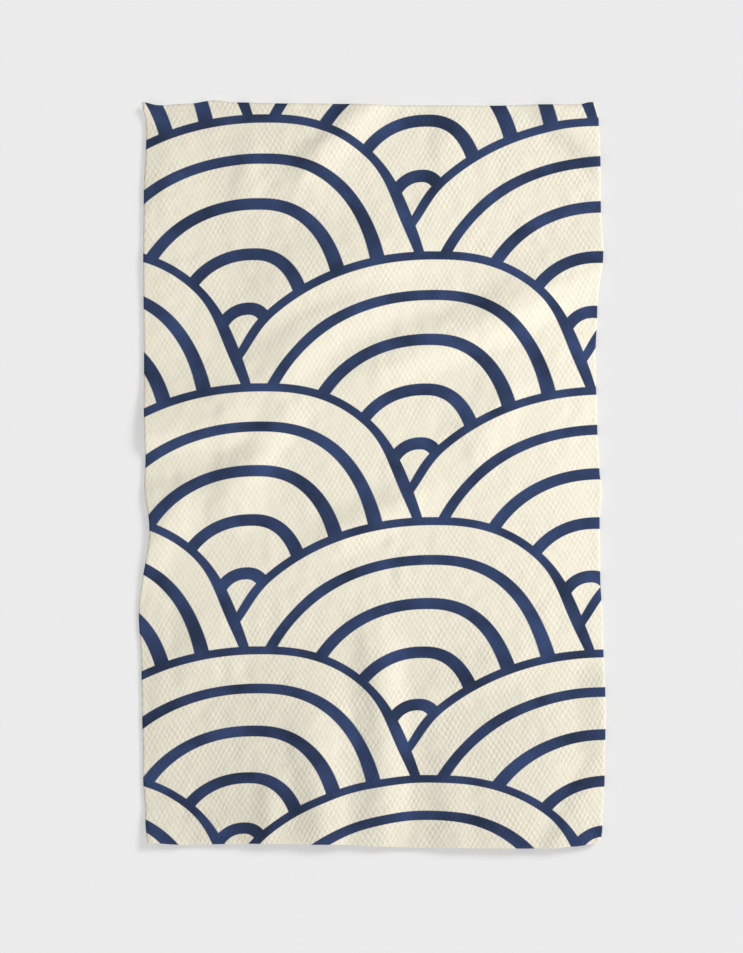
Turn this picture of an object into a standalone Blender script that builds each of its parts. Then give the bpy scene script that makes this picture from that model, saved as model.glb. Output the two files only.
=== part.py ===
"""A tea towel lying flat: one closed sheet with a thicker turned hem, an uneven outline and soft folds.

Sizes are in millimetres until the mesh is written in metres. X runs across the towel, Y along it
and Z up from the surface it lies on. The origin is under the middle of the towel's box.
"""

import math
from collections import namedtuple

import bpy
from mathutils import Vector

METRE = 0.001

# Driving dimensions
TOWEL_WIDTH = 457.0
TOWEL_LENGTH = 742.0
CLOTH_THICKNESS = 1.5
HEM_THICKNESS = 2.6
HEM_WIDTH = 8.0
HEM_STEP = 2.0
HEM_SETTLE = 70.0
CELLS_ACROSS = 42
CELLS_ALONG = 67

# The share of a fold's run over which it rises at its start and dies away at its end
FOLD_FADE = 0.32

CLOTH_COLOUR = (0.81, 0.77, 0.64, 1.0)
CLOTH_ROUGHNESS = 0.9

# A fold is a hollow ridge. Its crest runs from (x0, y0) to (x1, y1), bowed to its left by `bow` halfway.
# It slopes down over `left` on one side of the crest and over `right` on the other. A fold that runs
# off the towel starts or ends beyond the edge.
Fold = namedtuple("Fold", "name x0 y0 x1 y1 bow left right height")
FOLDS = (
    Fold("top crease", 28, 398, -94, 278, -2, 28, 22, 3.4),
    Fold("upper left swell", 20, 430, -106, 250, 0, 60, 150, 2.2),
    Fold("top small", 84, 368, 66, 304, 0, 30, 20, 1.5),
    Fold("top right corner", 150, 388, 262, 284, 0, 24, 24, 6.0),
    Fold("top left", -121, 342, -131, 254, 0, 20, 18, 1.4),
    Fold("left upper", -120, 186, -262, 222, 0, 40, 22, 1.8),
    Fold("upper right", 100, 330, 36, 244, 0, 30, 30, 0.8),
    Fold("third diagonal", 90, 214, -154, 126, -32, 27, 66, 3.9),
    Fold("second diagonal", 60, 190, -124, 62, -27, 36, 50, 4.3),
    Fold("long diagonal", 200, 192, -46, 90, 6, 32, 40, 4.6),
    Fold("right diagonal", 330, 270, 90, 132, 0, 32, 60, 3.3),
    Fold("diagonal tail", -64, 90, -136, -10, 0, 26, 28, 3.4),
    Fold("right middle", 152, 110, 88, 6, 0, 32, 44, 2.6),
    Fold("left band", -80, 52, -300, 36, 0, 25, 76, 7.4),
    Fold("left shelf", -104, 4, -262, -32, 0, 60, 22, 2.6),
    Fold("left lower", -172, 8, -258, -124, 4, 30, 24, 2.8),
    Fold("left inner", -118, 34, -160, -66, 0, 46, 36, 3.0),
    Fold("middle", 82, -5, -76, -80, 0, 28, 30, 3.9),
    Fold("lower middle", 178, -176, 20, -232, 0, 28, 38, 2.2),
    Fold("left foot", -168, -112, -180, -226, 0, 60, 30, 2.5),
    Fold("bottom centre", -4, -118, -2, -430, 14, 34, 35, 5.7),
    Fold("bottom left centre", -76, -222, -50, -400, 8, 30, 30, 3.0),
    Fold("bottom left", -94, -280, -116, -416, 0, 22, 24, 2.0),
    Fold("bottom right centre", 68, -240, 86, -416, 0, 26, 22, 1.4),
    Fold("bottom right swell", 232, -176, 90, -440, 0, 66, 150, 4.2),
    Fold("right swell", 168, 300, 172, -470, 0, 66, 140, 2.4),
    Fold("corner crease", 248, -258, 158, -424, 0, 46, 22, 3.4),
    Fold("lower left swell", -70, -160, -42, -440, 8, 56, 160, 4.6),
    Fold("left hem", -206, -150, -210, -300, 0, 50, 24, 1.0),
    Fold("upper left hem", -206, 380, -206, 240, 0, 60, 26, 1.0),
)

# How far each side bows outwards from the plain rectangle, by the place along that side
Offset = namedtuple("Offset", "at out")
LEFT_SIDE = (
    Offset(371, 1.2),
    Offset(352, -2.4),
    Offset(335, -2.9),
    Offset(282, -0.5),
    Offset(220, 0.0),
    Offset(75, -0.8),
    Offset(12, -2.2),
    Offset(-11, -1.0),
    Offset(-56, -6.2),
    Offset(-141, 4.6),
    Offset(-197, 1.9),
    Offset(-305, 0.2),
    Offset(-348, -2.3),
    Offset(-371, -3.9),
)
RIGHT_SIDE = (
    Offset(371, -6.0),
    Offset(352, -2.0),
    Offset(333, -0.9),
    Offset(264, 0.2),
    Offset(221, 2.5),
    Offset(167, -3.3),
    Offset(112, -5.3),
    Offset(45, -3.3),
    Offset(2, -1.2),
    Offset(-18, 1.2),
    Offset(-48, -1.0),
    Offset(-103, -0.4),
    Offset(-156, 2.4),
    Offset(-239, 4.5),
    Offset(-303, 3.8),
    Offset(-355, 1.5),
    Offset(-371, 0.0),
)
TOP_SIDE = (
    Offset(-228, 0.6),
    Offset(-212, -2.2),
    Offset(-181, -0.6),
    Offset(-156, 2.6),
    Offset(-136, 0.6),
    Offset(-84, -0.6),
    Offset(-22, -1.2),
    Offset(20, -2.2),
    Offset(128, -2.5),
    Offset(172, -1.6),
    Offset(212, -1.6),
    Offset(224, 0.6),
)
BOTTOM_SIDE = (
    Offset(-224, -3.0),
    Offset(-192, -1.2),
    Offset(-115, -2.6),
    Offset(-50, -1.8),
    Offset(43, 1.6),
    Offset(141, 2.2),
    Offset(175, 2.3),
    Offset(200, 0.4),
    Offset(228, -3.0),
)

# Where a stretch of one side lifts off the surface: its middle and half-length along the side, the
# lift at the very edge, and how far in from the edge it reaches
EdgeRise = namedtuple("EdgeRise", "side at half_length lift reach")
EDGE_RISES = (
    EdgeRise("left", 220, 170, 1.0, 60),
    EdgeRise("left", -40, 130, 1.0, 60),
    EdgeRise("bottom", -110, 140, 1.6, 40),
    EdgeRise("bottom", 120, 130, 1.6, 40),
    EdgeRise("right", -242, 58, 4.6, 32),
    EdgeRise("top", -100, 110, 1.0, 30),
)

# A corner whose tip curls up: the signs of its x and y, its lift and how far in the curl reaches
CornerCurl = namedtuple("CornerCurl", "side_x side_y lift reach")
CORNER_CURLS = (
    CornerCurl(-1, 1, 2.6, 24),
    CornerCurl(1, 1, 3.6, 34),
    CornerCurl(-1, -1, 5.0, 50),
    CornerCurl(1, -1, 2.0, 30),
)


def ease(value):
    """0 up to 0 and 1 from 1, with a smooth rise between."""
    value = min(max(value, 0.0), 1.0)
    return value * value * (3.0 - 2.0 * value)


def side_offset(offsets, place):
    """The outward bow of a side at a place along it, eased between the rows of its table."""
    rows = sorted(offsets)
    if place <= rows[0].at:
        return rows[0].out
    for before, after in zip(rows, rows[1:]):
        if place <= after.at:
            share = ease((place - before.at) / (after.at - before.at))
            return before.out + (after.out - before.out) * share
    return rows[-1].out


def grid_lines(length, cells):
    """The places of the grid's lines along one side: the hem's own lines at both ends, even cells between."""
    hem_lines = (0.0, HEM_WIDTH, HEM_WIDTH + HEM_STEP)
    inner_cells = cells - 2 * (len(hem_lines) - 1)
    inner_length = length - 2.0 * hem_lines[-1]
    inner = [hem_lines[-1] + inner_length * i / inner_cells for i in range(1, inner_cells)]
    far_lines = [length - line for line in reversed(hem_lines)]
    return [place - length / 2.0 for place in (*hem_lines, *inner, *far_lines)]


def outline_point(x, y):
    """A point of the plain rectangle moved to where it lies inside the uneven outline."""
    across = x / TOWEL_WIDTH + 0.5
    along = y / TOWEL_LENGTH + 0.5
    out_x = side_offset(RIGHT_SIDE, y) * across - side_offset(LEFT_SIDE, y) * (1.0 - across)
    out_y = side_offset(TOP_SIDE, x) * along - side_offset(BOTTOM_SIDE, x) * (1.0 - along)
    return x + out_x, y + out_y


def fold_height(fold, x, y):
    """How high one fold lifts the cloth at a point."""
    run_x = fold.x1 - fold.x0
    run_y = fold.y1 - fold.y0
    run = math.hypot(run_x, run_y)
    along = ((x - fold.x0) * run_x + (y - fold.y0) * run_y) / run**2
    if not 0.0 < along < 1.0:
        return 0.0
    across = ((y - fold.y0) * run_x - (x - fold.x0) * run_y) / run
    across -= fold.bow * 4.0 * along * (1.0 - along)
    slope_width = fold.left if across > 0.0 else fold.right
    if abs(across) >= slope_width:
        return 0.0
    crest = 0.5 * (1.0 + math.cos(math.pi * across / slope_width))
    return fold.height * crest * ease(along / FOLD_FADE) * ease((1.0 - along) / FOLD_FADE)


def edge_lift(x, y):
    """How high the loose edges and the curled corners lift the cloth at a point of the plain rectangle."""
    from_side = {
        "left": (x + TOWEL_WIDTH / 2.0, y),
        "right": (TOWEL_WIDTH / 2.0 - x, y),
        "bottom": (y + TOWEL_LENGTH / 2.0, x),
        "top": (TOWEL_LENGTH / 2.0 - y, x),
    }
    lift = 0.0
    for rise in EDGE_RISES:
        inward, place = from_side[rise.side]
        stretch = 1.0 - abs(place - rise.at) / rise.half_length
        lift += rise.lift * ease(1.0 - inward / rise.reach) * ease(2.0 * stretch)
    for curl in CORNER_CURLS:
        from_x = TOWEL_WIDTH / 2.0 - curl.side_x * x
        from_y = TOWEL_LENGTH / 2.0 - curl.side_y * y
        lift += curl.lift * ease(1.0 - math.hypot(from_x, from_y) / curl.reach)
    return lift


def hem_rise(x, y):
    """How much higher the hem's turned layers hold the cloth on and beside them than it lies elsewhere."""
    inward = min(TOWEL_WIDTH / 2.0 - abs(x), TOWEL_LENGTH / 2.0 - abs(y))
    settled = ease((inward - HEM_WIDTH - HEM_STEP) / HEM_SETTLE)
    return (HEM_THICKNESS - CLOTH_THICKNESS) * (1.0 - settled)


def remove_all_objects():
    """Empties the scene."""
    for thing in list(bpy.data.objects):
        bpy.data.objects.remove(thing, do_unlink=True)


def cloth_material():
    """Cream woven cotton, dull all over."""
    material = bpy.data.materials.new("cream_cotton")
    material.use_nodes = True
    shader = material.node_tree.nodes["Principled BSDF"]
    shader.inputs["Base Color"].default_value = CLOTH_COLOUR
    shader.inputs["Roughness"].default_value = CLOTH_ROUGHNESS
    shader.inputs["Metallic"].default_value = 0.0
    return material


def lay_grid():
    """The upper face of the towel: a grid moved to the outline, the folds and the lifted edges."""
    bpy.ops.mesh.primitive_grid_add(x_subdivisions=CELLS_ACROSS, y_subdivisions=CELLS_ALONG, size=1.0)
    towel = bpy.context.active_object
    towel.name = "towel"
    lines_x = grid_lines(TOWEL_WIDTH, CELLS_ACROSS)
    lines_y = grid_lines(TOWEL_LENGTH, CELLS_ALONG)
    hem_points = []
    for point in towel.data.vertices:
        column = round((point.co.x + 0.5) * CELLS_ACROSS)
        row = round((point.co.y + 0.5) * CELLS_ALONG)
        plain_x = lines_x[column]
        plain_y = lines_y[row]
        x, y = outline_point(plain_x, plain_y)
        flat = CLOTH_THICKNESS + hem_rise(plain_x, plain_y)
        lift = edge_lift(plain_x, plain_y) + sum(fold_height(fold, x, y) for fold in FOLDS)
        point.co = Vector((x, y, flat + lift)) * METRE
        if column in (0, 1, CELLS_ACROSS - 1, CELLS_ACROSS) or row in (0, 1, CELLS_ALONG - 1, CELLS_ALONG):
            hem_points.append(point.index)
    hem = towel.vertex_groups.new(name="hem")
    hem.add(hem_points, 1.0, "REPLACE")
    return towel


def thicken(towel):
    """Gives the sheet its thickness downwards, with the turned hem thicker than the cloth inside it."""
    thickness = towel.modifiers.new("thickness", "SOLIDIFY")
    thickness.thickness = HEM_THICKNESS * METRE
    thickness.offset = -1.0
    thickness.vertex_group = "hem"
    thickness.thickness_vertex_group = CLOTH_THICKNESS / HEM_THICKNESS
    bpy.context.view_layer.objects.active = towel
    bpy.ops.object.modifier_apply(modifier=thickness.name)


def set_on_origin(towel):
    """Moves the mesh so that the middle of its box's underside is the origin."""
    corners = [point.co for point in towel.data.vertices]
    low = Vector(min(corner[axis] for corner in corners) for axis in range(3))
    high = Vector(max(corner[axis] for corner in corners) for axis in range(3))
    base = Vector(((low.x + high.x) / 2.0, (low.y + high.y) / 2.0, low.z))
    for point in towel.data.vertices:
        point.co -= base


def build_towel():
    """Makes the towel and puts it in its collection."""
    towel = lay_grid()
    thicken(towel)
    set_on_origin(towel)
    towel.data.shade_smooth()
    towel.data.set_sharp_from_angle(angle=math.radians(40.0))
    towel.data.materials.append(cloth_material())
    collection = bpy.data.collections.new("tea_towel")
    bpy.context.scene.collection.children.link(collection)
    for owner in list(towel.users_collection):
        owner.objects.unlink(towel)
    collection.objects.link(towel)


remove_all_objects()
build_towel()
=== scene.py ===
"""A printed cotton tea towel that lies face up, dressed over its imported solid.

Lengths are in millimetres until a mesh, a lamp or the camera is placed, which is in metres. X runs across
the towel, Y along it towards its top edge, and Z up from the surface that it lies on.
"""

import logging
import math
from collections.abc import Mapping, Sequence
from dataclasses import dataclass
from enum import Enum

import bmesh
import bpy
from mathutils import Matrix, Vector, noise


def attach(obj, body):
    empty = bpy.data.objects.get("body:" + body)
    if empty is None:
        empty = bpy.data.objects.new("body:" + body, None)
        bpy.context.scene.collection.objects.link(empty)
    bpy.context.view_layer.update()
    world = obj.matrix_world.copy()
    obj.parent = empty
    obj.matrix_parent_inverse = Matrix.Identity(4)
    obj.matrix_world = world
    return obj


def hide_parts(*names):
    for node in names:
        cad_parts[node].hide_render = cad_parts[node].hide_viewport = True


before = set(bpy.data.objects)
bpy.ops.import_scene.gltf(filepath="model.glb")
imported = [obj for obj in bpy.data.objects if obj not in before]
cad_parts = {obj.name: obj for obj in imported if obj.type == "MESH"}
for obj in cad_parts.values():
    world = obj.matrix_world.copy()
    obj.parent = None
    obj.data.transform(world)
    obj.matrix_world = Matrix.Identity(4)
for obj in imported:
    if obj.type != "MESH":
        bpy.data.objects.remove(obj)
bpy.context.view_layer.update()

METRE = 0.001
PRINT_MAP = "print"
MATH = "ShaderNodeMath"
VECTOR_MATH = "ShaderNodeVectorMath"

# A Mix node's sockets share their names, so they are told by number: for colours, and then for numbers
MIX_SHARE = 0
COLOUR_A = 6
COLOUR_B = 7
MIXED_COLOUR = 2
NUMBER_A = 2
NUMBER_B = 3
MIXED_NUMBER = 0

log = logging.getLogger("tea_towel")


class Side(Enum):
    """The four sides of the towel, as seen from above with its top edge away from the viewer."""

    LEFT = "left"
    RIGHT = "right"
    TOP = "top"
    BOTTOM = "bottom"


class Face(Enum):
    """The two faces of the cloth, by their material's place on the mesh."""

    PRINTED = 0
    BACK = 1


@dataclass(frozen=True)
class Fold:
    """A hollow ridge in the cloth, from (x0, y0) to (x1, y1), with a crest that bows to its left.

    It slopes down over `left` on one side of the crest and over `right` on the other.
    """

    name: str
    x0: float
    y0: float
    x1: float
    y1: float
    bow: float
    left: float
    right: float
    height: float


@dataclass(frozen=True)
class Offset:
    """How far a side bows outwards from the plain rectangle at one place along it."""

    at: float
    out: float


@dataclass(frozen=True)
class EdgeRise:
    """A stretch of one side that lifts off the surface."""

    side: Side
    at: float
    half_length: float
    lift: float
    reach: float


@dataclass(frozen=True)
class Corner:
    """One corner: the signs of its x and y, how high its tip curls, how far in, and its rounding."""

    side_x: int
    side_y: int
    lift: float
    reach: float
    rounding: float


@dataclass(frozen=True)
class Patches:
    """Soft patches that wander over the towel: their size across and along it, and their layer of noise."""

    across: float
    along: float
    layer: float

    def at(self, x: float, y: float) -> float:
        """Gives their value at a place on the towel, from about -1 to 1."""
        return noise.noise(Vector((x / self.across, y / self.along, self.layer)))


@dataclass(frozen=True)
class Flank:
    """One flank of a printed arch: how far it reaches, how its inner lines narrow, and how square it is.

    The powers say how square it is: 2 is an ellipse, and more is squarer at the shoulder.
    """

    reach: float
    squeeze: float
    squeeze_power: float
    outer_power: float
    inner_power: float


@dataclass(frozen=True)
class Sun:
    """A distant light: where it stands and how soft it is, in degrees, and its share of the level light."""

    name: str
    azimuth: float
    elevation: float
    softness: float
    share: float


# A fold that runs off the towel starts or ends beyond the edge
FOLDS = (
    Fold("top crease", 28, 398, -94, 278, -2, 28, 22, 3.4),
    Fold("upper left swell", 20, 430, -106, 250, 0, 60, 150, 2.2),
    Fold("top small", 84, 368, 66, 304, 0, 30, 20, 1.5),
    Fold("top right corner", 150, 388, 262, 284, 0, 24, 24, 6.0),
    Fold("top left", -121, 342, -131, 254, 0, 20, 18, 1.4),
    Fold("left upper", -120, 186, -262, 222, 0, 40, 22, 1.8),
    Fold("upper right", 100, 330, 36, 244, 0, 30, 30, 0.8),
    Fold("third diagonal", 90, 214, -154, 126, -32, 27, 66, 3.9),
    Fold("second diagonal", 60, 190, -124, 62, -27, 36, 50, 4.3),
    Fold("long diagonal", 200, 192, -46, 90, 6, 32, 40, 4.6),
    Fold("right diagonal", 330, 270, 90, 132, 0, 32, 60, 3.3),
    Fold("diagonal tail", -64, 90, -136, -10, 0, 26, 28, 3.4),
    Fold("right middle", 152, 110, 88, 6, 0, 32, 44, 2.6),
    Fold("left band", -80, 52, -300, 36, 0, 25, 76, 7.4),
    Fold("left shelf", -104, 4, -262, -32, 0, 60, 22, 2.6),
    Fold("left lower", -172, 8, -258, -124, 4, 30, 24, 2.8),
    Fold("left inner", -118, 34, -160, -66, 0, 46, 36, 3.0),
    Fold("middle", 82, -5, -76, -80, 0, 28, 30, 3.9),
    Fold("lower middle", 178, -176, 20, -232, 0, 28, 38, 2.2),
    Fold("left foot", -168, -112, -180, -226, 0, 60, 30, 2.5),
    Fold("bottom centre", -4, -118, -2, -430, 14, 34, 35, 5.7),
    Fold("bottom left centre", -76, -222, -50, -400, 8, 30, 30, 3.0),
    Fold("bottom left", -94, -280, -116, -416, 0, 22, 24, 2.0),
    Fold("bottom right centre", 68, -240, 86, -416, 0, 26, 22, 1.4),
    Fold("bottom right swell", 232, -176, 90, -440, 0, 66, 150, 4.2),
    Fold("right swell", 168, 300, 172, -470, 0, 66, 140, 2.4),
    Fold("corner crease", 248, -258, 158, -424, 0, 46, 22, 3.4),
    Fold("lower left swell", -70, -160, -42, -440, 8, 56, 160, 4.6),
    Fold("left hem", -206, -150, -210, -300, 0, 50, 24, 1.0),
    Fold("upper left hem", -206, 380, -206, 240, 0, 60, 26, 1.0),
)

# Each side's uneven line, from the plain rectangle
SIDE_OFFSETS = {
    Side.LEFT: (
        Offset(371, 1.2),
        Offset(352, -2.4),
        Offset(335, -2.9),
        Offset(282, -0.5),
        Offset(220, 0.0),
        Offset(75, -0.8),
        Offset(12, -2.2),
        Offset(-11, -1.0),
        Offset(-56, -6.2),
        Offset(-141, 4.6),
        Offset(-197, 1.9),
        Offset(-305, 0.2),
        Offset(-348, -2.3),
        Offset(-371, -3.9),
    ),
    Side.RIGHT: (
        Offset(371, -6.0),
        Offset(352, -2.0),
        Offset(333, -0.9),
        Offset(264, 0.2),
        Offset(221, 2.5),
        Offset(167, -3.3),
        Offset(112, -5.3),
        Offset(45, -3.3),
        Offset(2, -1.2),
        Offset(-18, 1.2),
        Offset(-48, -1.0),
        Offset(-103, -0.4),
        Offset(-156, 2.4),
        Offset(-239, 4.5),
        Offset(-303, 3.8),
        Offset(-355, 1.5),
        Offset(-371, 0.0),
    ),
    Side.TOP: (
        Offset(-228, 0.6),
        Offset(-212, -2.2),
        Offset(-181, -0.6),
        Offset(-156, 2.6),
        Offset(-136, 0.6),
        Offset(-84, -0.6),
        Offset(-22, -1.2),
        Offset(20, -2.2),
        Offset(128, -2.5),
        Offset(172, -1.6),
        Offset(212, -1.6),
        Offset(224, 0.6),
    ),
    Side.BOTTOM: (
        Offset(-224, -3.0),
        Offset(-192, -1.2),
        Offset(-115, -2.6),
        Offset(-50, -1.8),
        Offset(43, 1.6),
        Offset(141, 2.2),
        Offset(175, 2.3),
        Offset(200, 0.4),
        Offset(228, -3.0),
    ),
}

# The loose stretches of the four sides
EDGE_RISES = (
    EdgeRise(Side.LEFT, 220, 170, 1.0, 60),
    EdgeRise(Side.LEFT, -40, 130, 1.0, 60),
    EdgeRise(Side.BOTTOM, -110, 140, 1.6, 40),
    EdgeRise(Side.BOTTOM, 120, 130, 1.6, 40),
    EdgeRise(Side.RIGHT, -242, 58, 4.6, 32),
    EdgeRise(Side.TOP, -100, 110, 1.0, 30),
)

CORNERS = (
    Corner(-1, 1, 2.6, 24, 1.5),
    Corner(1, 1, 3.6, 34, 2.0),
    Corner(-1, -1, 5.0, 50, 4.0),
    Corner(1, -1, 2.0, 30, 6.0),
)


def ease(value: float) -> float:
    """Rises smoothly from 0 at 0 to 1 at 1, and is level outside.

    Args:
        value: Any number.

    Returns:
        A number from 0 to 1.
    """
    value = min(max(value, 0.0), 1.0)
    return value * value * (3.0 - 2.0 * value)


def arc(share: float) -> float:
    """Gives 1 halfway and 0 at both ends, with a round rise between."""
    return 4.0 * share * (1.0 - share)


def linear(hex_colour: str) -> tuple[float, float, float, float]:
    """Turns an sRGB colour into the linear one that shaders read.

    Args:
        hex_colour: The colour as "#rrggbb".

    Returns:
        Linear red, green and blue, and an alpha of 1.
    """
    channels = [int(hex_colour[i : i + 2], 16) / 255.0 for i in (1, 3, 5)]
    straight = [c / 12.92 if c <= 0.04045 else ((c + 0.055) / 1.055) ** 2.4 for c in channels]
    return (*straight, 1.0)


def add_node(
    tree: bpy.types.NodeTree, kind: str, inputs: Mapping | Sequence = (), **settings: object
) -> bpy.types.Node:
    """Adds a node with its settings, values and links.

    Args:
        tree: The node tree that it goes into.
        kind: The node's Blender type.
        inputs: Values, sockets or nodes for its input sockets, in their order or by their names. A node
            stands for its first output.
        settings: The node's own properties.

    Returns:
        The new node.
    """
    node = tree.nodes.new(kind)
    for name, value in settings.items():
        setattr(node, name, value)
    for key, value in inputs.items() if isinstance(inputs, Mapping) else enumerate(inputs):
        source = value.outputs[0] if isinstance(value, bpy.types.Node) else value
        if isinstance(source, bpy.types.NodeSocket):
            tree.links.new(source, node.inputs[key])
        else:
            node.inputs[key].default_value = source
    return node


def new_group(name: str, kind: str, takes: Sequence[str], gives: Sequence[str]) -> bpy.types.NodeTree:
    """Starts a node group.

    Args:
        name: The group's name.
        kind: The Blender type of the sockets that it takes.
        takes: The names of those sockets.
        gives: The names of the numbers that it gives.

    Returns:
        The group, with its sockets and without its nodes.
    """
    tree = bpy.data.node_groups.new(name, "ShaderNodeTree")
    for socket in takes:
        tree.interface.new_socket(name=socket, in_out="INPUT", socket_type=kind)
    for socket in gives:
        tree.interface.new_socket(name=socket, in_out="OUTPUT", socket_type="NodeSocketFloat")
    return tree


def new_material(name: str, surface: Mapping[str, object]) -> tuple[bpy.types.Material, bpy.types.Node]:
    """Starts a material.

    Args:
        name: The material's name.
        surface: The values of its shader's input sockets, by their names.

    Returns:
        The material, and its shader's node.
    """
    material = bpy.data.materials.new(name)
    material.use_nodes = True
    shader = material.node_tree.nodes["Principled BSDF"]
    for socket, value in surface.items():
        shader.inputs[socket].default_value = value
    return material, shader


def direction(azimuth: float, elevation: float) -> Vector:
    """Gives the direction towards a light.

    Args:
        azimuth: Its angle from the towel's right, turning towards its top, in degrees.
        elevation: Its angle above the floor, in degrees.

    Returns:
        A vector of unit length.
    """
    turn = math.radians(azimuth)
    tilt = math.radians(elevation)
    return Vector((math.cos(turn) * math.cos(tilt), math.sin(turn) * math.cos(tilt), math.sin(tilt)))


def deselect_all() -> None:
    """Deselects every object, so that the next operator acts on its own piece alone."""
    bpy.ops.object.select_all(action="DESELECT")


@dataclass(frozen=True)
class LaidShape:
    """Where each point of the towel lies, in millimetres from the middle of its plain rectangle."""

    width: float = 457.0
    length: float = 742.0
    cloth: float = 1.5
    hem: float = 2.6
    hem_width: float = 8.0
    hem_step: float = 2.0
    hem_settle: float = 70.0
    edge_radius: float = 0.5
    thinnest_edge: float = 0.1
    fold_fade: float = 0.32
    rise_fade: float = 0.5
    seam_inset: float = 6.6
    seam_depth: float = 0.05
    seam_width: float = 1.4
    corner_bulk: float = 0.3
    ripple: float = 0.7
    broad_ripples: Patches = Patches(46.0, 58.0, 3.0)
    fine_ripples: Patches = Patches(19.0, 23.0, 8.0)
    dent: float = 0.5
    dents: Patches = Patches(12.0, 12.0, 12.0)
    pucker: float = 0.24
    puckers: Patches = Patches(9.0, 9.0, 5.0)
    pucker_reach: float = 16.0

    @property
    def half_width(self) -> float:
        """Gives half the plain rectangle's width."""
        return self.width / 2.0

    @property
    def half_length(self) -> float:
        """Gives half the plain rectangle's length."""
        return self.length / 2.0

    def inward(self, x: float, y: float) -> dict[Side, tuple[float, float]]:
        """Measures a plain point from the four sides.

        Args:
            x: The plain point's place across the towel.
            y: Its place along the towel.

        Returns:
            For each side, the point's distance in from it and its place along it.
        """
        return {
            Side.LEFT: (self.half_width + x, y),
            Side.RIGHT: (self.half_width - x, y),
            Side.TOP: (self.half_length - y, x),
            Side.BOTTOM: (self.half_length + y, x),
        }

    def edge_distance(self, x: float, y: float) -> float:
        """Measures a plain point from the nearest side.

        Args:
            x: The plain point's place across the towel.
            y: Its place along the towel.

        Returns:
            Its distance in from that side.
        """
        return min(distance for distance, _ in self.inward(x, y).values())

    def side_offset(self, side: Side, place: float) -> float:
        """Works out how far a side bows outwards at a place along it.

        Args:
            side: The side of the towel.
            place: The place along that side.

        Returns:
            The outward bow, eased between the rows of the side's table.
        """
        rows = sorted(SIDE_OFFSETS[side], key=lambda row: row.at)
        if place <= rows[0].at:
            return rows[0].out
        for before, after in zip(rows, rows[1:]):
            if place <= after.at:
                share = ease((place - before.at) / (after.at - before.at))
                return before.out + (after.out - before.out) * share
        return rows[-1].out

    def rounded(self, x: float, y: float) -> tuple[float, float]:
        """Draws the points near a corner in to its small rounding.

        Args:
            x: The plain point's place across the towel.
            y: Its place along the towel.

        Returns:
            The moved point.
        """
        for corner in CORNERS:
            share_x = 1.0 - (self.half_width - corner.side_x * x) / corner.rounding
            share_y = 1.0 - (self.half_length - corner.side_y * y) / corner.rounding
            if share_x > 0.0 and share_y > 0.0:
                drawn_x = share_x * math.sqrt(1.0 - share_y**2 / 2.0)
                drawn_y = share_y * math.sqrt(1.0 - share_x**2 / 2.0)
                x = corner.side_x * (self.half_width - corner.rounding * (1.0 - drawn_x))
                y = corner.side_y * (self.half_length - corner.rounding * (1.0 - drawn_y))
        return x, y

    def outline_point(self, x: float, y: float) -> tuple[float, float]:
        """Moves a plain point to where it lies inside the towel's uneven outline.

        Args:
            x: The plain point's place across the towel.
            y: Its place along the towel.

        Returns:
            The laid point.
        """
        near_x, near_y = self.rounded(x, y)
        across = x / self.width + 0.5
        along = y / self.length + 0.5
        out_right = self.side_offset(Side.RIGHT, y) * across
        out_left = self.side_offset(Side.LEFT, y) * (1.0 - across)
        out_top = self.side_offset(Side.TOP, x) * along
        out_bottom = self.side_offset(Side.BOTTOM, x) * (1.0 - along)
        return near_x + out_right - out_left, near_y + out_top - out_bottom

    def fold_height(self, fold: Fold, x: float, y: float) -> float:
        """Works out how high one fold lifts the cloth.

        Args:
            fold: The fold.
            x: A laid point's place across the towel.
            y: Its place along the towel.

        Returns:
            The height that the fold adds there.
        """
        run_x = fold.x1 - fold.x0
        run_y = fold.y1 - fold.y0
        run = math.hypot(run_x, run_y)
        along = ((x - fold.x0) * run_x + (y - fold.y0) * run_y) / run**2
        if not 0.0 < along < 1.0:
            return 0.0
        across = ((y - fold.y0) * run_x - (x - fold.x0) * run_y) / run - fold.bow * arc(along)
        slope_width = fold.left if across > 0.0 else fold.right
        if abs(across) >= slope_width:
            return 0.0
        crest = 0.5 * (1.0 + math.cos(math.pi * across / slope_width))
        return fold.height * crest * ease(along / self.fold_fade) * ease((1.0 - along) / self.fold_fade)

    def edge_lift(self, x: float, y: float) -> float:
        """Works out how high the loose edges and the curled corners lift the cloth.

        Args:
            x: The plain point's place across the towel.
            y: Its place along the towel.

        Returns:
            The lift there.
        """
        from_side = self.inward(x, y)
        lift = 0.0
        for rise in EDGE_RISES:
            distance, place = from_side[rise.side]
            stretch = 1.0 - abs(place - rise.at) / rise.half_length
            lift += rise.lift * ease(1.0 - distance / rise.reach) * ease(stretch / self.rise_fade)
        for corner in CORNERS:
            from_x = self.half_width - corner.side_x * x
            from_y = self.half_length - corner.side_y * y
            lift += corner.lift * ease(1.0 - math.hypot(from_x, from_y) / corner.reach)
        return lift

    def unevenness(self, x: float, y: float) -> float:
        """Works out the open cloth's soft ripples and small dents, and the puckers beside its seam.

        Args:
            x: A laid point's place across the towel.
            y: Its place along the towel.

        Returns:
            The lift that they add, from 0 up.
        """
        # The dents are deeper where the broad ripples are high
        broad = self.broad_ripples.at(x, y)
        fine = self.fine_ripples.at(x, y)
        ripple = self.ripple * (1.0 + 0.5 * broad + 0.5 * fine) / 2.0
        dent = self.dent * self.dents.at(x, y) * (1.0 + broad)
        near_edge = ease(1.0 - self.edge_distance(x, y) / self.pucker_reach)
        pucker = self.pucker * near_edge * (0.5 + 0.5 * self.puckers.at(x, y))
        return max(ripple + dent, 0.0) + pucker

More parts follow.
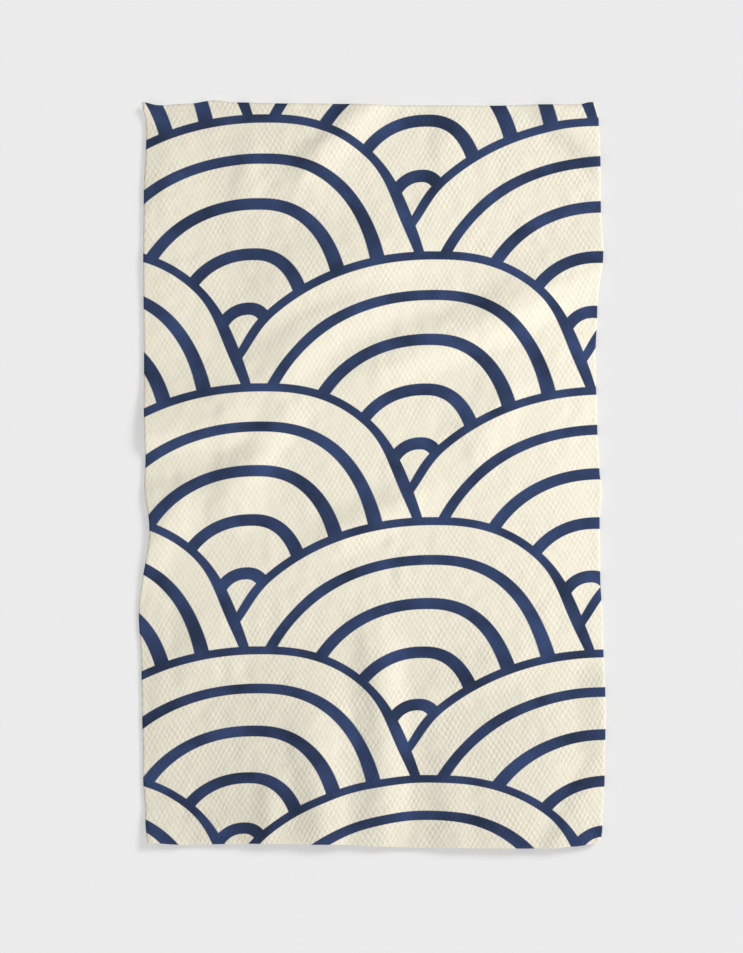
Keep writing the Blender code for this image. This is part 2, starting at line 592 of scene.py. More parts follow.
    def hem_rise(self, distance: float) -> float:
        """Works out how much higher the hem's turned layers hold the cloth on and beside them.

        Args:
            distance: The distance in from the nearest side.

        Returns:
            The rise, which eases away inside the hem so that no step shows from above.
        """
        settled = ease((distance - self.hem_width - self.hem_step) / self.hem_settle)
        return (self.hem - self.cloth) * (1.0 - settled)

    def edge_round(self, distance: float) -> float:
        """Works out half the hem's thickness, which is drawn in to a round fold at its very edge.

        Args:
            distance: The distance in from the nearest side.

        Returns:
            Half the thickness there.
        """
        if distance >= self.edge_radius:
            return self.hem / 2.0
        inward = distance / self.edge_radius
        return self.hem / 2.0 * max(math.sqrt(inward * (2.0 - inward)), self.thinnest_edge)

    def seam_dip(self, distance: float) -> float:
        """Works out how far the seam draws each face in.

        Args:
            distance: The distance in from the nearest side.

        Returns:
            The depth of the dip there.
        """
        return self.seam_depth * ease(1.0 - abs(distance - self.seam_inset) / self.seam_width)

    def corner_layers(self, x: float, y: float) -> float:
        """Works out how much thicker the towel is where two hems cross.

        Args:
            x: The plain point's place across the towel.
            y: Its place along the towel.

        Returns:
            The thickness that the second hem adds there.
        """
        distances = self.inward(x, y)
        nearest_x = min(distances[Side.LEFT][0], distances[Side.RIGHT][0])
        nearest_y = min(distances[Side.TOP][0], distances[Side.BOTTOM][0])
        both = ease((self.hem_width - max(nearest_x, nearest_y)) / self.hem_step)
        return self.corner_bulk * both * ease(min(nearest_x, nearest_y) / self.edge_radius)

    def thickness(self, x: float, y: float) -> float:
        """Works out how thick the towel is at a plain point.

        Args:
            x: The plain point's place across the towel.
            y: Its place along the towel.

        Returns:
            The turned layers' thickness on the hem, and one layer's inside it.
        """
        distance = self.edge_distance(x, y)
        inside = ease((distance - self.hem_width) / self.hem_step)
        hem = 2.0 * (self.edge_round(distance) - self.seam_dip(distance)) + self.corner_layers(x, y)
        return hem + (self.cloth - hem) * inside

    def upper_face(self, x: float, y: float) -> Vector:
        """Places the upper face of a plain point.

        Args:
            x: The plain point's place across the towel.
            y: Its place along the towel.

        Returns:
            The laid point of the upper face.
        """
        laid_x, laid_y = self.outline_point(x, y)
        distance = self.edge_distance(x, y)
        flat = self.cloth + self.hem_rise(distance) + self.corner_layers(x, y)
        drawn_in = self.hem / 2.0 - self.edge_round(distance) + self.seam_dip(distance)
        folds = sum(self.fold_height(fold, laid_x, laid_y) for fold in FOLDS)
        lift = self.edge_lift(x, y) + self.unevenness(laid_x, laid_y)
        return Vector((laid_x, laid_y, flat - drawn_in + folds + lift))

    def frame_at(self, x: float, y: float) -> tuple[Vector, Vector]:
        """Finds the upper face's point and its upward normal at a plain point.

        Args:
            x: The plain point's place across the towel.
            y: Its place along the towel.

        Returns:
            The point, and the normal of unit length.
        """
        step = 1.0
        here = self.upper_face(x, y)
        normal = (self.upper_face(x + step, y) - here).cross(self.upper_face(x, y + step) - here)
        return here, normal.normalized()


@dataclass(frozen=True)
class WavePrint:
    """The print: rows of overlapping wave arches, each with five lines, that lean to their right.

    An arch is measured from its apex. Its lines are rings about a centre `rise` below the apex, at the
    shares of the outer line in `rings` and of the widths in `lines`, from the outer one to the inner
    one. The outer line is thickest halfway down its right flank, and its left foot is tucked in. Each
    row of arches lies in front of the row above it. The cloth was printed slightly askew, its print
    draws together towards its foot, and its lower right corner is pulled out to the right.
    """

    apex_x: float = -103.3
    apex_y: float = 354.4
    repeat: float = 346.3
    row: float = 135.7
    gather: float = 0.76
    drift: float = -1.0
    narrowing: float = 1.006
    askew: float = 0.009
    foot: float = -165.0
    foot_gather: float = 0.00014
    pull: float = 15.0
    pull_x: tuple[float, float] = (40.0, 230.0)
    pull_y: tuple[float, float] = (-140.0, -350.0)
    rise: float = 237.3
    left: Flank = Flank(244.6, 0.36, 0.86, 2.14, 2.29)
    right: Flank = Flank(162.5, 0.2, 0.52, 2.39, 2.08)
    inner_start: float = 0.96
    lean: float = 26.0
    rings: tuple[float, ...] = (1.0, 0.831, 0.64, 0.426, 0.193)
    lines: tuple[float, ...] = (8.5, 10.4, 11.8, 12.2, 12.6)
    bowed_part: tuple[float, float] = (0.84, 0.33)
    outer_zone: tuple[float, float] = (0.78, 0.96)
    drawn_in: float = 2.1
    swell: float = 4.0
    left_foot: tuple[float, float] = (0.74, 0.57)
    tuck: float = 5.5
    soft_edge: float = 0.7
    smallest_ring: float = 0.001

    def arch_group(self) -> bpy.types.NodeTree:
        """Makes the nodes that draw one arch.

        Returns:
            A node group. It takes a point's place across from the apex and up from the centre, and gives
            whether the arch covers the point and how much ink is there.
        """
        tree = new_group("printed_arch", "NodeSocketFloat", ("Across", "Up"), ("Cover", "Ink"))
        place = add_node(tree, "NodeGroupInput")
        across = place.outputs["Across"]

        # How far the point lies towards the outer line, before the lean
        up = add_node(tree, MATH, (place.outputs["Up"], self.rise), operation="DIVIDE")
        up = add_node(tree, MATH, (up, 0.0), operation="MAXIMUM")
        on_right = add_node(tree, MATH, (across, 0.0), operation="GREATER_THAN")
        per_mm = self._by_side(tree, on_right, 1.0 / self.left.reach, 1.0 / self.right.reach)
        sideways = add_node(tree, MATH, (across, per_mm), operation="MULTIPLY")
        reach = add_node(tree, "ShaderNodeCombineXYZ", (sideways, up))
        reach = add_node(tree, VECTOR_MATH, (reach,), operation="LENGTH").outputs["Value"]
        inside = add_node(tree, MATH, (self.inner_start, reach), operation="SUBTRACT", use_clamp=True)

        # Halfway down its right flank the outer line is drawn in a little and swells inwards. A share
        # times what is left of it is a quarter at most, so both are taken four times.
        down = add_node(tree, "ShaderNodeMapRange", (up, *self.bowed_part), interpolation_type="SMOOTHSTEP")
        still = add_node(tree, MATH, (1.0, down), operation="SUBTRACT")
        bow = add_node(tree, MATH, (down, still), operation="MULTIPLY")
        bow = add_node(tree, MATH, (bow, on_right), operation="MULTIPLY")
        near = (reach, *self.outer_zone)
        near = add_node(tree, "ShaderNodeMapRange", near, interpolation_type="SMOOTHSTEP")
        drawn = add_node(tree, MATH, (bow, near), operation="MULTIPLY")
        across = add_node(tree, MATH, (drawn, 4.0 * self.drawn_in, across), operation="MULTIPLY_ADD")
        swell = add_node(tree, MATH, (bow, -4.0 * self.swell), operation="MULTIPLY")

        # Its left foot is tucked in
        low = add_node(tree, "ShaderNodeMapRange", (up, *self.left_foot), interpolation_type="SMOOTHSTEP")
        on_left = add_node(tree, MATH, (1.0, on_right), operation="SUBTRACT")
        tucked = add_node(tree, MATH, (low, near), operation="MULTIPLY")
        tucked = add_node(tree, MATH, (tucked, on_left), operation="MULTIPLY")
        across = add_node(tree, MATH, (tucked, -self.tuck, across), operation="MULTIPLY_ADD")

        # The inner lines lean over, are narrower, and are less square at the shoulder
        leaned = add_node(tree, MATH, (inside, self.lean, across), operation="MULTIPLY_ADD")
        on_right = add_node(tree, MATH, (leaned, 0.0), operation="GREATER_THAN")
        per_mm = self._by_side(tree, on_right, 1.0 / self.left.reach, 1.0 / self.right.reach)
        squeeze = self._by_side(tree, on_right, self.left.squeeze, self.right.squeeze)
        squeeze_power = self._by_side(tree, on_right, self.left.squeeze_power, self.right.squeeze_power)
        outer = self._by_side(tree, on_right, self.left.outer_power, self.right.outer_power)
        inner = self._by_side(tree, on_right, self.left.inner_power, self.right.inner_power)
        power_change = add_node(tree, MATH, (inner, outer), operation="SUBTRACT")
        power = add_node(tree, MATH, (inside, power_change, outer), operation="MULTIPLY_ADD")
        share = add_node(tree, MATH, (inside, squeeze_power), operation="POWER")
        squeeze = add_node(tree, MATH, (squeeze, share), operation="MULTIPLY")
        narrowed = add_node(tree, MATH, (1.0, squeeze), operation="SUBTRACT")
        per_mm = add_node(tree, MATH, (per_mm, narrowed), operation="DIVIDE")
        sideways = add_node(tree, MATH, (leaned, per_mm), operation="MULTIPLY")
        sideways = add_node(tree, MATH, (sideways,), operation="ABSOLUTE")

        # The ring through the point, on a rounded and slightly squared arch
        sideways_part = add_node(tree, MATH, (sideways, power), operation="POWER")
        up_part = add_node(tree, MATH, (up, power), operation="POWER")
        whole = add_node(tree, MATH, (sideways_part, up_part), operation="ADD")
        root = add_node(tree, MATH, (1.0, power), operation="DIVIDE")
        ring = add_node(tree, MATH, (whole, root), operation="POWER")
        ring = add_node(tree, MATH, (ring, self.smallest_ring), operation="MAXIMUM")

        # How fast the rings change for each millimetre there, which turns shares into widths
        steepness = add_node(tree, MATH, (power, 1.0), operation="SUBTRACT")
        slope_x = add_node(tree, MATH, (sideways, ring), operation="DIVIDE")
        slope_x = add_node(tree, MATH, (slope_x, steepness), operation="POWER")
        slope_x = add_node(tree, MATH, (slope_x, per_mm), operation="MULTIPLY")
        slope_y = add_node(tree, MATH, (up, ring), operation="DIVIDE")
        slope_y = add_node(tree, MATH, (slope_y, steepness), operation="POWER")
        slope_y = add_node(tree, MATH, (slope_y, self.rise), operation="DIVIDE")
        slope = add_node(tree, "ShaderNodeCombineXYZ", (slope_x, slope_y))
        slope = add_node(tree, VECTOR_MATH, (slope,), operation="LENGTH").outputs["Value"]

        ink = None
        for share, width in zip(self.rings, self.lines):
            half = width / 2.0
            beyond = add_node(tree, MATH, (ring, share), operation="SUBTRACT")
            beyond = add_node(tree, MATH, (beyond, slope), operation="DIVIDE")
            if ink is None:
                cover = self._within(tree, beyond, half)
                beyond = add_node(tree, MATH, (beyond, -1.0, swell), operation="MULTIPLY_ADD")
            else:
                beyond = add_node(tree, MATH, (beyond,), operation="ABSOLUTE")
            mark = self._within(tree, beyond, half)
            ink = mark if ink is None else add_node(tree, MATH, (ink, mark), operation="MAXIMUM")
        add_node(tree, "NodeGroupOutput", {"Cover": cover, "Ink": ink})
        return tree

    def _by_side(
        self, tree: bpy.types.NodeTree, on_right: bpy.types.Node, left: float, right: float
    ) -> bpy.types.Node:
        """Adds the node that gives one value left of an arch's axis and another right of it.

        Args:
            tree: The node tree that it goes into.
            on_right: The node that is 1 right of the axis and 0 left of it.
            left: The value left of the axis.
            right: The value right of the axis.

        Returns:
            The new node.
        """
        return add_node(tree, MATH, (on_right, right - left, left), operation="MULTIPLY_ADD")

    def _within(self, tree: bpy.types.NodeTree, distance: bpy.types.Node, limit: float) -> bpy.types.Node:
        """Adds the node that is 1 up to a distance and 0 past it, with the ink's soft edge.

        Args:
            tree: The node tree that it goes into.
            distance: The node that gives the distance in millimetres.
            limit: The distance of the ink's edge.

        Returns:
            The new node.
        """
        values = (distance, -1.0 / self.soft_edge, limit / self.soft_edge + 0.5)
        return add_node(tree, MATH, values, operation="MULTIPLY_ADD", use_clamp=True)

    def group(self) -> bpy.types.NodeTree:
        """Makes the nodes that draw the whole print.

        Returns:
            A node group. It takes a place on the towel in millimetres and gives how much ink is there.
        """
        arch = self.arch_group()
        tree = new_group("wave_print", "NodeSocketVector", ("Place",), ("Ink",))
        place = add_node(tree, "NodeGroupInput")
        place = add_node(tree, "ShaderNodeSeparateXYZ", (place.outputs["Place"],))
        place_x = place.outputs["X"]
        place_y = place.outputs["Y"]

        # The place on the even print, before it is set askew and drawn together
        x = add_node(tree, MATH, (place_x, self.narrowing), operation="MULTIPLY")
        y = add_node(tree, MATH, (place_x, self.askew, place_y), operation="MULTIPLY_ADD")
        below_foot = add_node(tree, MATH, (self.foot, place_y), operation="SUBTRACT")
        below_foot = add_node(tree, MATH, (below_foot, 0.0), operation="MAXIMUM")
        gathered = add_node(tree, MATH, (below_foot, 2.0), operation="POWER")
        y = add_node(tree, MATH, (gathered, -self.foot_gather, y), operation="MULTIPLY_ADD")
        shares = []
        for values in ((place_x, *self.pull_x), (place_y, *self.pull_y)):
            shares.append(add_node(tree, "ShaderNodeMapRange", values, interpolation_type="SMOOTHSTEP"))
        pulled = add_node(tree, MATH, shares, operation="MULTIPLY")
        x = add_node(tree, MATH, (pulled, -self.pull, x), operation="MULTIPLY_ADD")

        # How many rows down the point lies: the rows draw together a little all the way down
        down = add_node(tree, MATH, (self.apex_y, y), operation="SUBTRACT")
        down = add_node(tree, MATH, (down, self.row), operation="DIVIDE")
        closer = add_node(tree, MATH, (down, self.gather / self.row, 1.0), operation="MULTIPLY_ADD")
        down = add_node(tree, MATH, (down, closer), operation="MULTIPLY")
        over_line = self.lines[0] / 2.0 / self.row
        row = add_node(tree, MATH, (down, over_line), operation="ADD")
        row = add_node(tree, MATH, (row,), operation="FLOOR")
        depth = add_node(tree, MATH, (down, row), operation="SUBTRACT")
        depth = add_node(tree, MATH, (depth, self.row), operation="MULTIPLY")

        shown = None
        for rows_back in (1, 0):
            this_row = add_node(tree, MATH, (row, float(rows_back)), operation="SUBTRACT")
            stagger = add_node(tree, MATH, (this_row, 2.0), operation="FLOORED_MODULO")
            values = (stagger, self.repeat / 2.0, self.apex_x)
            apex = add_node(tree, MATH, values, operation="MULTIPLY_ADD")
            apex = add_node(tree, MATH, (this_row, self.drift, apex), operation="MULTIPLY_ADD")
            right_of = add_node(tree, MATH, (x, apex), operation="SUBTRACT")
            right_of = add_node(tree, MATH, (right_of, self.repeat), operation="FLOORED_MODULO")
            left_of = add_node(tree, MATH, (right_of, self.repeat), operation="SUBTRACT")
            up = add_node(tree, MATH, (self.rise - rows_back * self.row, depth), operation="SUBTRACT")
            for across in (left_of, right_of):
                drawn = add_node(tree, "ShaderNodeGroup", {"Across": across, "Up": up}, node_tree=arch)
                if shown is None:
                    shown = drawn.outputs["Ink"]
                else:
                    cover = drawn.outputs["Cover"]
                    values = {MIX_SHARE: cover, NUMBER_A: shown, NUMBER_B: drawn.outputs["Ink"]}
                    mixed = add_node(tree, "ShaderNodeMix", values, data_type="FLOAT")
                    shown = mixed.outputs[MIXED_NUMBER]
        add_node(tree, "NodeGroupOutput", {"Ink": shown})
        return tree


@dataclass(frozen=True)
class DiamondWeave:
    """The cloth's weave: two sets of slanting ribs that cross in upright lozenges, over fine yarns.

    Each set of ribs has a layer of noise for its patches, a repeat across the towel and one along it,
    which is below 0 where it leans back.
    """

    ribs: tuple[tuple[float, float, float], ...] = ((0.0, 4.8, -9.0), (7.0, 6.0, 8.8))
    # The real yarns are about 0.5 mm apart, and they are drawn coarser so that a close view shows them
    yarn_pitch: float = 1.1
    yarn_share: float = 0.16
    wander: float = 2.4
    wander_size: float = 30.0
    # The size of the patches in which a set of ribs is plainer, how much they differ, and their low end
    patch_size: float = 24.0
    patch_contrast: float = 0.8
    patch_low: float = -0.2
    slub_width: float = 1.5
    slub_length: float = 4.0
    slub_share: float = 1.2
    # How much of the weave stands out on the towel's middle line, and how that changes across and along it
    middle_share: float = 0.76
    change_across: float = 0.0007
    foot_rise: tuple[float, float, float] = (-20.0, -340.0, 0.44)
    head_rise: tuple[float, float, float] = (130.0, 330.0, 0.28)

    def group(self) -> bpy.types.NodeTree:
        """Makes the nodes of the weave.

        Returns:
            A node group. It takes a place on the towel in millimetres and gives the cloth's height there,
            from 0 in the hollows to 1 on the lozenges.
        """
        tree = new_group("diamond_weave", "NodeSocketVector", ("Place",), ("Height",))
        place = add_node(tree, "NodeGroupInput").outputs["Place"]

        # The threads are not quite straight
        values = {"Vector": place, "Scale": 1.0 / self.wander_size, "Detail": 1.0}
        bend = add_node(tree, "ShaderNodeTexNoise", values).outputs["Color"]
        bend = add_node(tree, VECTOR_MATH, (bend, (0.5, 0.5, 0.5)), operation="SUBTRACT")
        bend = add_node(tree, VECTOR_MATH, (bend,), operation="SCALE")
        bend.inputs["Scale"].default_value = 2.0 * self.wander
        bent = add_node(tree, VECTOR_MATH, (place, bend), operation="ADD")

        # Each set of ribs is plainer in some patches than in others
        turn = 2.0 * math.pi
        height = add_node(tree, "ShaderNodeValue")
        height.outputs[0].default_value = 0.5
        for layer, across, along in self.ribs:
            slope = (turn / across, turn / along, 0.0)
            angle = add_node(tree, VECTOR_MATH, (bent, slope), operation="DOT_PRODUCT").outputs["Value"]
            wave = add_node(tree, MATH, (angle,), operation="SINE")
            values = {"Vector": place, "W": layer, "Scale": 1.0 / self.patch_size, "Detail": 2.0}
            patch = add_node(tree, "ShaderNodeTexNoise", values, noise_dimensions="4D").outputs["Fac"]
            patch = (patch, self.patch_contrast, self.patch_low)
            patch = add_node(tree, MATH, patch, operation="MULTIPLY_ADD")
            height = add_node(tree, MATH, (wave, patch, height), operation="MULTIPLY_ADD")

        # The yarns are thicker in some places, in short slubs along the towel
        sizes = (1.0 / self.slub_width, 1.0 / self.slub_length, 0.0)
        slub = add_node(tree, VECTOR_MATH, (bent, sizes), operation="MULTIPLY")
        values = {"Vector": slub, "Scale": 1.0, "Detail": 1.0}
        slub = add_node(tree, "ShaderNodeTexNoise", values).outputs["Fac"]
        slub = add_node(tree, MATH, (slub, 0.5), operation="SUBTRACT")
        height = add_node(tree, MATH, (slub, self.slub_share, height), operation="MULTIPLY_ADD")

        # The finest yarns cross at right angles
        yarns = None
        for slope in ((turn / self.yarn_pitch, 0.0, 0.0), (0.0, turn / self.yarn_pitch, 0.0)):
            angle = add_node(tree, VECTOR_MATH, (bent, slope), operation="DOT_PRODUCT").outputs["Value"]
            wave = add_node(tree, MATH, (angle,), operation="SINE")
            yarns = wave if yarns is None else add_node(tree, MATH, (yarns, wave), operation="MULTIPLY")

        height = add_node(tree, MATH, (yarns, self.yarn_share, height), operation="MULTIPLY_ADD")

        # The weave stands out least around the towel's middle, and more towards its right and its two ends,
        # both in its relief and in the painted shade of its hollows
        at = add_node(tree, "ShaderNodeSeparateXYZ", (place,))
        share = (at.outputs["X"], self.change_across, self.middle_share)
        share = add_node(tree, MATH, share, operation="MULTIPLY_ADD")
        for start, end, more in (self.foot_rise, self.head_rise):
            values = (at.outputs["Y"], start, end, 0.0, more)
            rise = add_node(tree, "ShaderNodeMapRange", values, interpolation_type="SMOOTHSTEP")
            share = add_node(tree, MATH, (share, rise), operation="ADD")
        height = add_node(tree, MATH, (height, 0.5), operation="SUBTRACT")
        height = add_node(tree, MATH, (height, share, 0.5), operation="MULTIPLY_ADD")
        add_node(tree, "NodeGroupOutput", {"Height": height})
        return tree


@dataclass(frozen=True)
class CottonFinish:
    """Woven cotton in natural cream, printed on one face with a navy reactive ink.

    The ink soaks into the yarns, so it is as dull as the bare cloth and a little uneven. The weave's
    hollows are painted darker than its lozenges, as painted shade.
    """

    cream: str = "#ebe5d5"
    # Painted shade for the weave's hollows
    hollow_shade_cream: str = "#dbd5c1"
    navy: str = "#1e2b45"
    bright_navy: str = "#31426b"
    back_cream: str = "#e8e2cf"
    show_through: float = 0.16
    weave_depth: float = 0.19
    ink_patch: float = 45.0
    ink_detail: float = 6.0
    ink_contrast: float = 3.0
    roughness: float = 0.92
    sheen: float = 0.08
    sheen_roughness: float = 0.6
    specular: float = 0.2
    weave: DiamondWeave = DiamondWeave()

    def materials(self, ink: bpy.types.NodeTree) -> dict[Face, bpy.types.Material]:
        """Makes the materials of the two faces.

        Args:
            ink: The print's node group.

        Returns:
            A material for each face of the cloth.
        """
        weave = self.weave.group()
        return {
            Face.PRINTED: self._cloth("printed_cotton", weave, ink, self.cream, 1.0),
            Face.BACK: self._cloth("cotton_back", weave, ink, self.back_cream, self.show_through),
        }

    def _cloth(
        self,
        name: str,
        weave: bpy.types.NodeTree,
        ink: bpy.types.NodeTree,
        ground: str,
        ink_strength: float,
    ) -> bpy.types.Material:
        """Makes one face's material.

        Args:
            name: The material's name.
            weave: The weave's node group.
            ink: The print's node group.
            ground: The bare cloth's colour.
            ink_strength: How much of the ink shows on this face, from 0 to 1.

        Returns:
            The material.
        """
        # Fibre ends stand off the yarns, so the cloth is dull and has a faint soft sheen at a low angle
        surface = {
            "Roughness": self.roughness,
            "Sheen Weight": self.sheen,
            "Sheen Roughness": self.sheen_roughness,
            "Specular IOR Level": self.specular,
        }
        material, shader = new_material(name, surface)
        tree = material.node_tree
        place = add_node(tree, "ShaderNodeUVMap", uv_map=PRINT_MAP)
        woven = add_node(tree, "ShaderNodeGroup", (place,), node_tree=weave)
        inked = add_node(tree, "ShaderNodeGroup", (place,), node_tree=ink)

        # Bare cloth: cream, with painted shade that makes it a little darker in the hollows between the
        # lozenges
        values = {MIX_SHARE: woven, COLOUR_A: linear(self.hollow_shade_cream), COLOUR_B: linear(ground)}
        cloth = add_node(tree, "ShaderNodeMix", values, data_type="RGBA").outputs[MIXED_COLOUR]

        # Ink: two navies in soft patches, as the cloth takes it up unevenly
        values = {"Vector": place, "Scale": 1.0 / self.ink_patch, "Detail": self.ink_detail}
        uptake = add_node(tree, "ShaderNodeTexNoise", values).outputs["Fac"]
        values = (uptake, self.ink_contrast, 0.5 - self.ink_contrast / 2.0)
        uptake = add_node(tree, MATH, values, operation="MULTIPLY_ADD", use_clamp=True)
        values = {MIX_SHARE: uptake, COLOUR_A: linear(self.navy), COLOUR_B: linear(self.bright_navy)}
        dyed = add_node(tree, "ShaderNodeMix", values, data_type="RGBA").outputs[MIXED_COLOUR]

        share = add_node(tree, MATH, (inked, ink_strength), operation="MULTIPLY")
        values = {MIX_SHARE: share, COLOUR_A: cloth, COLOUR_B: dyed}
        colour = add_node(tree, "ShaderNodeMix", values, data_type="RGBA").outputs[MIXED_COLOUR]
        tree.links.new(colour, shader.inputs["Base Color"])

        values = {"Height": woven, "Distance": self.weave_depth * METRE}
        relief = add_node(tree, "ShaderNodeBump", values)
        tree.links.new(relief.outputs["Normal"], shader.inputs["Normal"])
        return material


@dataclass(frozen=True)
class ThreadFinish:
    """Spun cotton sewing thread in cream: two plies that turn round each other.

    The towel is printed after it is hemmed, so the ink also covers the stitches of its upper face.
    """

    colour: str = "#e6e0cf"
    # Painted shade in the grooves between the plies
    shade: str = "#d3ccb8"
    inked: str = "#2b3957"
    twist_pitch: float = 0.7
    ply_depth: float = 0.05
    roughness: float = 0.75
    sheen: float = 0.1
    specular: float = 0.25

    def materials(self, ink: bpy.types.NodeTree) -> dict[Face, bpy.types.Material]:
        """Makes the materials of the stitches on the two faces.

        Args:
            ink: The print's node group.

        Returns:
            A material for the stitches of each face.
        """
        return {
            Face.PRINTED: self._thread("printed_sewing_thread", ink, 1.0),
            Face.BACK: self._thread("cream_sewing_thread", ink, 0.0),
        }

    def _thread(self, name: str, ink: bpy.types.NodeTree, ink_strength: float) -> bpy.types.Material:
        """Makes one face's thread.

        Args:
            name: The material's name.
            ink: The print's node group.
            ink_strength: How much of the ink lies on this thread, from 0 to 1.

        Returns:
            The material.
        """
        # Its fibres are twisted tight, so it is a little smoother than the cloth
        surface = {
            "Roughness": self.roughness,
            "Sheen Weight": self.sheen,
            "Specular IOR Level": self.specular,
        }
        material, shader = new_material(name, surface)
        tree = material.node_tree
        place = add_node(tree, "ShaderNodeTexCoord").outputs["Object"]
        per_mm = (1.0 / METRE, 1.0 / METRE, 1.0 / METRE)
        place = add_node(tree, VECTOR_MATH, (place, per_mm), operation="MULTIPLY")
        turn = 2.0 * math.pi / self.twist_pitch
        angle = add_node(tree, VECTOR_MATH, (place, (turn, turn, 0.0)), operation="DOT_PRODUCT")
        ply = add_node(tree, MATH, (angle.outputs["Value"],), operation="SINE")
        ply = add_node(tree, MATH, (ply, 0.5, 0.5), operation="MULTIPLY_ADD")
        # Painted shade: the thread is darker in the grooves between its two plies
        values = {MIX_SHARE: ply, COLOUR_A: linear(self.shade), COLOUR_B: linear(self.colour)}
        colour = add_node(tree, "ShaderNodeMix", values, data_type="RGBA").outputs[MIXED_COLOUR]
        share = add_node(tree, "ShaderNodeGroup", (place,), node_tree=ink)
        share = add_node(tree, MATH, (share, ink_strength), operation="MULTIPLY")
        values = {MIX_SHARE: share, COLOUR_A: colour, COLOUR_B: linear(self.inked)}
        colour = add_node(tree, "ShaderNodeMix", values, data_type="RGBA").outputs[MIXED_COLOUR]
        tree.links.new(colour, shader.inputs["Base Color"])
        relief = add_node(tree, "ShaderNodeBump", {"Height": ply, "Distance": self.ply_depth * METRE})
        tree.links.new(relief.outputs["Normal"], shader.inputs["Normal"])
        return material


@dataclass(frozen=True)
class TowelCloth:
    """The cloth: a closed thin sheet with round hem edges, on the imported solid's folds."""

    shape: LaidShape
    finish: CottonFinish
    cell: float = 2.95
    # Lines of the mesh beside each edge: the round fold, the hem, its seam and the step down from it
    edge_lines: tuple[float, ...] = (0.0, 0.08, 0.24, 0.5, 2.4, 4.2, 5.4, 6.6, 8.0, 8.7, 9.3, 10.0, 12.0)

    def grid_lines(self, length: float) -> list[float]:
        """Places the mesh's lines along one side.

        Args:
            length: The side's plain length.

        Returns:
            Their places from the side's middle: the hem's own lines at both ends, and even ones between.
        """
        inner = length - 2.0 * self.edge_lines[-1]
        cells = round(inner / self.cell)
        even = [self.edge_lines[-1] + inner * i / cells for i in range(1, cells)]
        far = [length - line for line in reversed(self.edge_lines)]
        return [place - length / 2.0 for place in (*self.edge_lines, *even, *far)]

    def build(self, ink: bpy.types.NodeTree) -> bpy.types.Object:
        """Lays the sheet, gives it its thickness and dresses its two faces.

        Args:
            ink: The print's node group.

        Returns:
            The finished piece.
        """
        lines_x = self.grid_lines(self.shape.width)
        lines_y = self.grid_lines(self.shape.length)
        columns = len(lines_x) - 1
        rows = len(lines_y) - 1
        deselect_all()
        bpy.ops.mesh.primitive_grid_add(x_subdivisions=columns, y_subdivisions=rows, size=1.0)
        cloth = bpy.context.active_object
        cloth.name = "towel_cloth"
        plain = []
        for point in cloth.data.vertices:
            column = round((point.co.x + 0.5) * columns)
            row = round((point.co.y + 0.5) * rows)
            plain.append((lines_x[column], lines_y[row]))
            point.co = self.shape.upper_face(*plain[-1]) * METRE
        self._thicken(cloth, plain)
        self._map_print(cloth, plain)
        cloth.data.shade_smooth()
        materials = self.finish.materials(ink)
        for face in Face:
            cloth.data.materials.append(materials[face])
        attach(cloth, "root")
        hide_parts("towel")
        return cloth

    def _thicken(self, cloth: bpy.types.Object, plain: list[tuple[float, float]]) -> None:
        """Gives the sheet its local thickness, downwards from its upper face.

        Args:
            cloth: The sheet, as one layer of faces.
            plain: The plain place of each of its points.
        """
        most = self.shape.hem + self.shape.corner_bulk
        group = cloth.vertex_groups.new(name="thickness")
        for index, (x, y) in enumerate(plain):
            group.add([index], self.shape.thickness(x, y) / most, "REPLACE")
        solid = cloth.modifiers.new("thickness", "SOLIDIFY")
        solid.thickness = most * METRE
        solid.offset = -1.0
        solid.vertex_group = group.name
        bpy.context.view_layer.objects.active = cloth
        bpy.ops.object.modifier_apply(modifier=solid.name)

    def _map_print(self, cloth: bpy.types.Object, plain: list[tuple[float, float]]) -> None:
        """Maps the print onto the laid cloth, round the hem's fold and onto the turned strip below it.

        Args:
            cloth: The closed sheet.
            plain: The plain place of each point of its upper face, and again of each point below it.
        """
        mesh = cloth.data
        for layer in list(mesh.uv_layers):
            mesh.uv_layers.remove(layer)
        uv_map = mesh.uv_layers.new(name=PRINT_MAP)
        half_width = self.shape.half_width
        half_length = self.shape.half_length
        for face in mesh.polygons:
            below = all(index >= len(plain) for index in face.vertices)
            places = [plain[index % len(plain)] for index in face.vertices]
            middle_x = sum(x for x, _ in places) / len(places)
            middle_y = sum(y for _, y in places) / len(places)
            turned = self.shape.edge_distance(middle_x, middle_y) < self.shape.hem_width
            face.material_index = (Face.BACK if below and not turned else Face.PRINTED).value
            by_x = half_width - abs(middle_x) < half_length - abs(middle_y)
            for corner, (x, y) in zip(face.loop_indices, places):
                point = mesh.vertices[mesh.loops[corner].vertex_index].co / METRE
                mapped = Vector((point.x, point.y))
                if below and turned and by_x:
                    mapped.x += 2.0 * math.copysign(half_width - abs(x), x)
                elif below and turned:
                    mapped.y += 2.0 * math.copysign(half_length - abs(y), y)
                uv_map.data[corner].uv = mapped


